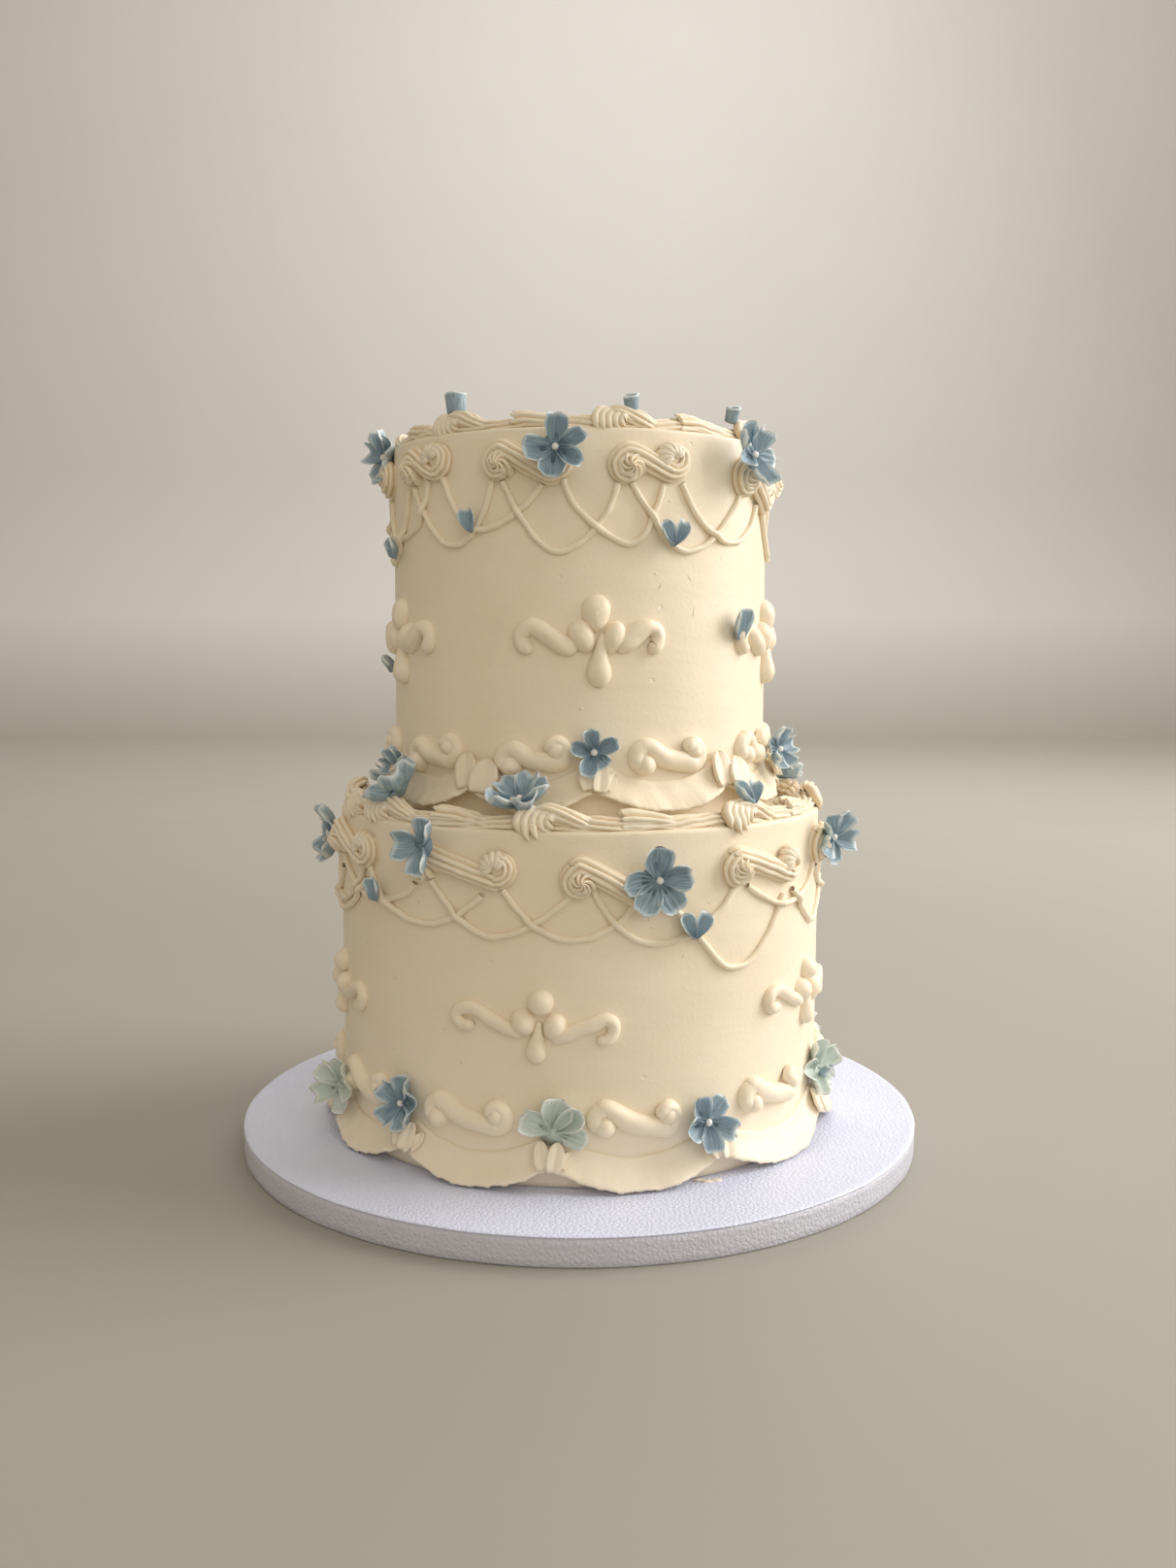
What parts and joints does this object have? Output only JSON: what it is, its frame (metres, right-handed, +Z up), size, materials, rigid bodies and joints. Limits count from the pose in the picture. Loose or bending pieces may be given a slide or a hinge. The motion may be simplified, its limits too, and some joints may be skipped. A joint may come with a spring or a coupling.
{
  "type": "tiered wedding cake",
  "caption": "Round buttercream cake in stacked tiers with piped swags, scrolls, ruffles and blue piped flowers, on a foil-covered round cake drum.",
  "frame": {"origin": "centre of the cake drum's flat underside", "axes": "+Z up through both tiers; -Y is the front of the cake; +X is to the right when seen from the front"},
  "size_m": [0.3048, 0.3048, 0.3241],
  "materials": {
    "buttercream": "smooth satin buttercream",
    "blue_petals": "satin dusty blue buttercream with pale petal edges",
    "pale_petals": "satin pale mint-grey buttercream with white petal edges",
    "board_foil": "embossed pale foil over card"
  },
  "bodies": {
    "root": {"bottom_border_flower_1": "pale_petals", "bottom_border_flower_10": "blue_petals", "bottom_border_flower_2": "blue_petals", "bottom_border_flower_3": "pale_petals", "bottom_border_flower_4": "blue_petals", "bottom_border_flower_5": "pale_petals", "bottom_border_flower_6": "blue_petals", "bottom_border_flower_7": "pale_petals", "bottom_border_flower_8": "blue_petals", "bottom_border_flower_9": "pale_petals", "bottom_large_flower_1": "blue_petals", "bottom_large_flower_2": "blue_petals", "bottom_large_flower_3": "blue_petals", "bottom_large_flower_4": "blue_petals", "bottom_large_flower_5": "blue_petals", "bottom_large_flower_6": "blue_petals", "bottom_tier": "buttercream", "cake_drum": "board_foil", "ledge_bud": "blue_petals", "ledge_flower_1": "blue_petals", "ledge_flower_2": "blue_petals", "ledge_flower_3": "blue_petals", "ledge_flower_4": "blue_petals", "ledge_flower_5": "blue_petals", "rim_bud_1": "blue_petals", "rim_bud_2": "blue_petals", "rim_bud_3": "blue_petals", "rim_bud_4": "blue_petals", "rim_bud_5": "blue_petals", "string_bud_1": "blue_petals", "string_bud_2": "blue_petals", "string_bud_3": "blue_petals", "string_bud_4": "blue_petals", "string_bud_5": "blue_petals", "string_bud_6": "blue_petals", "string_bud_7": "blue_petals", "string_bud_8": "blue_petals", "string_bud_9": "blue_petals", "top_border_flower_1": "blue_petals", "top_border_flower_2": "blue_petals", "top_border_flower_3": "blue_petals", "top_border_flower_4": "blue_petals", "top_border_flower_5": "blue_petals", "top_large_flower_1": "blue_petals", "top_large_flower_2": "blue_petals", "top_large_flower_3": "blue_petals", "top_large_flower_4": "blue_petals", "top_large_flower_5": "blue_petals", "top_tier": "buttercream", "wall_bud_1": "blue_petals", "wall_bud_2": "blue_petals", "wall_bud_3": "blue_petals", "wall_bud_4": "blue_petals"}
  },
  "joints": []
}
